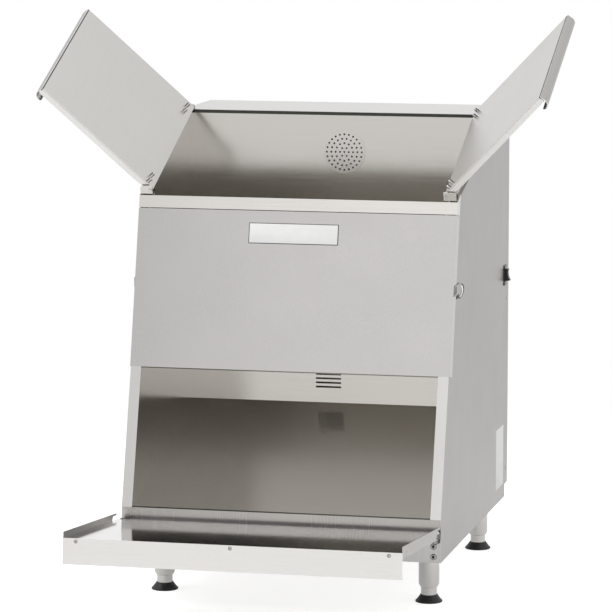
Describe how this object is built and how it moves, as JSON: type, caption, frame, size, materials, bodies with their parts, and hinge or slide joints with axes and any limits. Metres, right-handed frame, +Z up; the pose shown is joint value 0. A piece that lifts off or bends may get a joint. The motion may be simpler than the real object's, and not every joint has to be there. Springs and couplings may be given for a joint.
{
  "type": "chip warmer",
  "caption": "Countertop sheet-metal chip warmer with two lids over its hopper, a drop-down front door that opens as a shelf, a rear blower and short legs with adjustable feet.",
  "frame": {"origin": "on the floor under the middle of the overall box, with the door and lids open as stored", "axes": "+Z up, -Y out of the front door, +X to the right as seen from the front"},
  "size_m": [0.9196, 1.036, 1.0345],
  "materials": {
    "brushed_steel": "brushed",
    "polished_steel": "polished",
    "foot_steel": "satin",
    "fastener_steel": "satin",
    "heater_steel": "heat darkened",
    "fan_aluminium": "satin",
    "rubber": "matte",
    "switch_plastic": "gloss",
    "box_plastic": "matte",
    "motor_paint": "satin",
    "insulation": "fibrous"
  },
  "bodies": {
    "cabinet": {"side_panel_left": "brushed_steel", "side_panel_right": "brushed_steel", "base_front_plate": "brushed_steel", "bottom_panel": "brushed_steel", "front_panel": "brushed_steel", "front_rail": "brushed_steel", "front_liner": "brushed_steel", "hopper_liner_left": "brushed_steel", "hopper_liner_right": "brushed_steel", "hopper_back": "brushed_steel", "hopper_floor": "brushed_steel", "top_rear_panel": "brushed_steel", "back_panel": "brushed_steel", "rear_cover": "brushed_steel", "mouth_rail_left": "brushed_steel", "mouth_rail_right": "brushed_steel", "lid_pivot_screws": "fastener_steel", "front_insulation": "insulation", "side_insulation": "insulation", "fan_grille": "brushed_steel", "blower_housing": "brushed_steel", "air_duct": "brushed_steel", "heater_element": "heater_steel", "fan_motor": "motor_paint", "thermostat": "motor_paint", "terminal_box": "box_plastic", "switch_housing": "switch_plastic", "side_clips": "brushed_steel", "hinge_brackets": "brushed_steel", "hinge_bracket_screws": "fastener_steel", "door_hinge_pins": "fastener_steel", "leg_front_left": "brushed_steel", "leg_front_right": "brushed_steel", "leg_rear_left": "brushed_steel", "leg_rear_right": "brushed_steel"},
    "door": {"door_inner_panel": "polished_steel", "door_outer_panel": "brushed_steel", "door_handle_strip": "brushed_steel", "door_side_flanges": "brushed_steel", "door_core": "insulation", "door_hinge_ears": "brushed_steel"},
    "left_lid": {"lid_inner_left": "brushed_steel", "lid_outer_left": "brushed_steel", "lid_handle_left": "brushed_steel", "lid_core_left": "insulation"},
    "right_lid": {"lid_inner_right": "brushed_steel", "lid_outer_right": "brushed_steel", "lid_handle_right": "brushed_steel", "lid_core_right": "insulation"},
    "switch_rocker": {"switch_rocker": "switch_plastic"},
    "fan": {"fan_wheel": "fan_aluminium", "motor_shaft": "fastener_steel"},
    "foot_front_left": {"foot_stem_front_left": "foot_steel", "foot_pad_front_left": "rubber"},
    "foot_front_right": {"foot_stem_front_right": "foot_steel", "foot_pad_front_right": "rubber"},
    "foot_rear_left": {"foot_stem_rear_left": "foot_steel", "foot_pad_rear_left": "rubber"},
    "foot_rear_right": {"foot_stem_rear_right": "foot_steel", "foot_pad_rear_right": "rubber"}
  },
  "joints": [
    {"name": "left_lid_hinge", "type": "hinge", "parent": "cabinet", "child": "left_lid", "pos_m": [-0.2695, -0.02275, 0.7249], "axis": [0, 0.9223, 0.3864], "range_deg": [0, 132.4]},
    {"name": "right_lid_hinge", "type": "hinge", "parent": "cabinet", "child": "right_lid", "pos_m": [0.2695, -0.02275, 0.7249], "axis": [0, -0.9223, -0.3864], "range_deg": [0, 132.4]},
    {"name": "door_hinge", "type": "hinge", "parent": "cabinet", "child": "door", "pos_m": [0, -0.17503, 0.1492], "axis": [-1, 0, 0], "range_deg": [0, 100.4]},
    {"name": "rocker_hinge", "type": "hinge", "parent": "cabinet", "child": "switch_rocker", "pos_m": [0.289, 0.47597, 0.5248], "axis": [0, 1, 0], "range_deg": [0, 16]},
    {"name": "fan_spin", "type": "hinge", "parent": "cabinet", "child": "fan", "pos_m": [0.02, 0.30997, 0.771], "axis": [0, 1, 0], "continuous": true},
    {"name": "foot_front_left_slide", "type": "slide", "parent": "cabinet", "child": "foot_front_left", "axis": [0, 0, -1], "range_m": [0, 0.02]},
    {"name": "foot_front_right_slide", "type": "slide", "parent": "cabinet", "child": "foot_front_right", "axis": [0, 0, -1], "range_m": [0, 0.02]},
    {"name": "foot_rear_left_slide", "type": "slide", "parent": "cabinet", "child": "foot_rear_left", "axis": [0, 0, -1], "range_m": [0, 0.02]},
    {"name": "foot_rear_right_slide", "type": "slide", "parent": "cabinet", "child": "foot_rear_right", "axis": [0, 0, -1], "range_m": [0, 0.02]}
  ]
}
